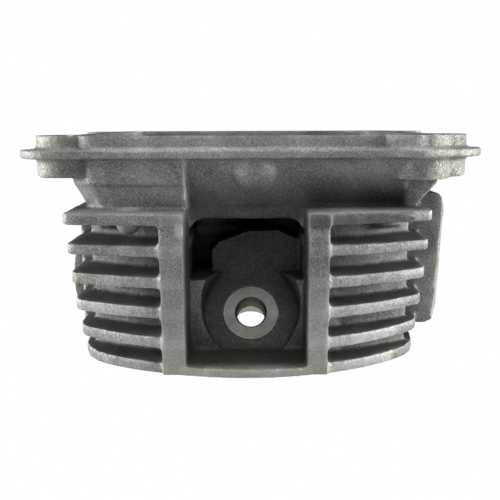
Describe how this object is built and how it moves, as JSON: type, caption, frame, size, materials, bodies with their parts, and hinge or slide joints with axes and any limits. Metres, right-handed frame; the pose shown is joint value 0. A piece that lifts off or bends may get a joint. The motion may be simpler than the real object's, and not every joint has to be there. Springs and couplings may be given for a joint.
{
  "type": "cylinder head",
  "caption": "Air-cooled overhead-valve cylinder head: finned casting with a rocker box and spark-plug well, its sprung valves and their rocker arms.",
  "frame": {"origin": "cylinder bore axis at the gasket face, at the centre of the head-bolt pattern", "axes": "+Z from the gasket face to the rocker-cover face, +X to the exhaust port, -X to the intake port, -Y to the spark-plug side, +Y to the push-rod side"},
  "size_m": [0.195, 0.141, 0.097],
  "materials": {
    "cast_aluminium": "matt as-cast with machined faces",
    "sintered_iron": "ground",
    "guide_bronze": "turned",
    "seal_rubber": "matt",
    "spring_steel": "oiled",
    "valve_steel": "ground",
    "case_hardened_steel": "satin, heat darkened",
    "pressed_steel": "satin",
    "turned_steel": "satin"
  },
  "bodies": {
    "head": {"head_casting": "cast_aluminium", "intake_valve_seat": "sintered_iron", "exhaust_valve_seat": "sintered_iron", "intake_valve_guide": "guide_bronze", "exhaust_valve_guide": "guide_bronze", "intake_stem_seal": "seal_rubber", "exhaust_stem_seal": "seal_rubber", "intake_spring_seat": "pressed_steel", "exhaust_spring_seat": "pressed_steel", "intake_valve_spring": "spring_steel", "exhaust_valve_spring": "spring_steel", "intake_rocker_stud": "turned_steel", "exhaust_rocker_stud": "turned_steel", "intake_adjusting_nut": "turned_steel", "exhaust_adjusting_nut": "turned_steel", "intake_lock_nut": "turned_steel", "exhaust_lock_nut": "turned_steel", "push_rod_guide_plate": "pressed_steel"},
    "intake_valve_set": {"intake_valve": "valve_steel", "intake_spring_retainer": "turned_steel", "intake_valve_keepers": "turned_steel"},
    "exhaust_valve_set": {"exhaust_valve": "valve_steel", "exhaust_spring_retainer": "turned_steel", "exhaust_valve_keepers": "turned_steel", "exhaust_valve_cap": "turned_steel"},
    "intake_rocker": {"intake_rocker_arm": "case_hardened_steel"},
    "exhaust_rocker": {"exhaust_rocker_arm": "case_hardened_steel"}
  },
  "joints": [
    {"name": "intake_valve_slide", "type": "slide", "parent": "head", "child": "intake_valve_set", "axis": [0, 0, -1], "range_m": [0, 0.007], "stiffness_N_per_m": 6000, "springref_m": -0.012, "deforming": ["intake_valve_spring"]},
    {"name": "exhaust_valve_slide", "type": "slide", "parent": "head", "child": "exhaust_valve_set", "axis": [0, 0, -1], "range_m": [0, 0.007], "stiffness_N_per_m": 6000, "springref_m": -0.012, "deforming": ["exhaust_valve_spring"]},
    {"name": "intake_rocker_hinge", "type": "hinge", "parent": "head", "child": "intake_rocker", "pos_m": [-0.019, 0.033, 0.088], "axis": [1, 0, 0], "range_deg": [0, 16.1]},
    {"name": "exhaust_rocker_hinge", "type": "hinge", "parent": "head", "child": "exhaust_rocker", "pos_m": [0.019, 0.033, 0.088], "axis": [1, 0, 0], "range_deg": [0, 16.1]}
  ],
  "couplings": [
    {"joint": "intake_rocker_hinge", "follows": "intake_valve_slide", "rad_per_m": 40},
    {"joint": "exhaust_rocker_hinge", "follows": "exhaust_valve_slide", "rad_per_m": 40}
  ]
}
